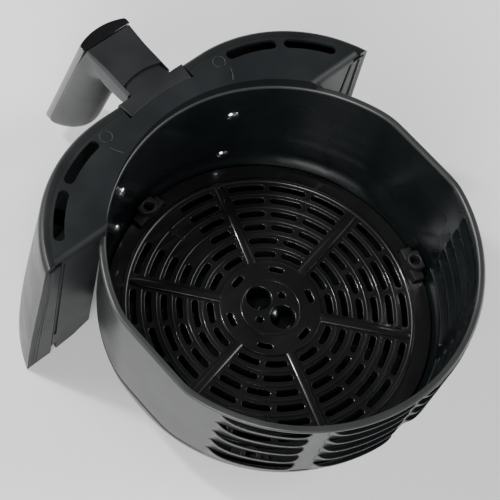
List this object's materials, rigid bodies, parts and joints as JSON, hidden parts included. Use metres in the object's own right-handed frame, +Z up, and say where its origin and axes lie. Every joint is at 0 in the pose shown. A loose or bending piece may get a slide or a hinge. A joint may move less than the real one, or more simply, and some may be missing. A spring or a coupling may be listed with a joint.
{
  "type": "air fryer",
  "caption": "Round-pan air fryer drawer: riveted non-stick pan with a louvred rear wall, a lift-out crisper plate, a vented plastic front and a hanging handle.",
  "frame": {"origin": "middle of the pan's flat base, on its underside", "axes": "+Z up, -Y towards the handle, +Y towards the louvres, X across"},
  "size_m": [0.2702, 0.3212, 0.1315],
  "materials": {
    "nonstick": "glossy dark non-stick coating",
    "steel_sheet": "plain pressed steel",
    "rivet": "bright",
    "shield": "mill finish",
    "screw": "zinc plated",
    "plate_coating": "satin dark non-stick coating",
    "silicone": "matte",
    "housing": "glossy moulded",
    "cover": "satin moulded",
    "handle": "satin moulded",
    "trim": "high gloss"
  },
  "bodies": {
    "drawer": {"pan": "nonstick", "pan_bracket": "steel_sheet", "pan_rivets": "rivet", "heat_shield": "shield", "bracket_screws": "screw", "front_shell": "housing", "inner_cover": "cover", "edge_strip_left": "housing", "edge_strip_right": "housing", "cover_screws": "screw", "handle_body": "handle", "handle_core": "steel_sheet", "handle_trim": "trim", "handle_cover_plate": "handle", "handle_screws": "screw", "nut_plate": "steel_sheet"},
    "crisper": {"crisper_plate": "plate_coating", "bumper_front": "silicone", "bumper_left": "silicone", "bumper_right": "silicone"}
  },
  "joints": [
    {"name": "crisper_lift", "type": "slide", "parent": "drawer", "child": "crisper", "axis": [0, 0, 1], "range_m": [0, 0.13]}
  ]
}
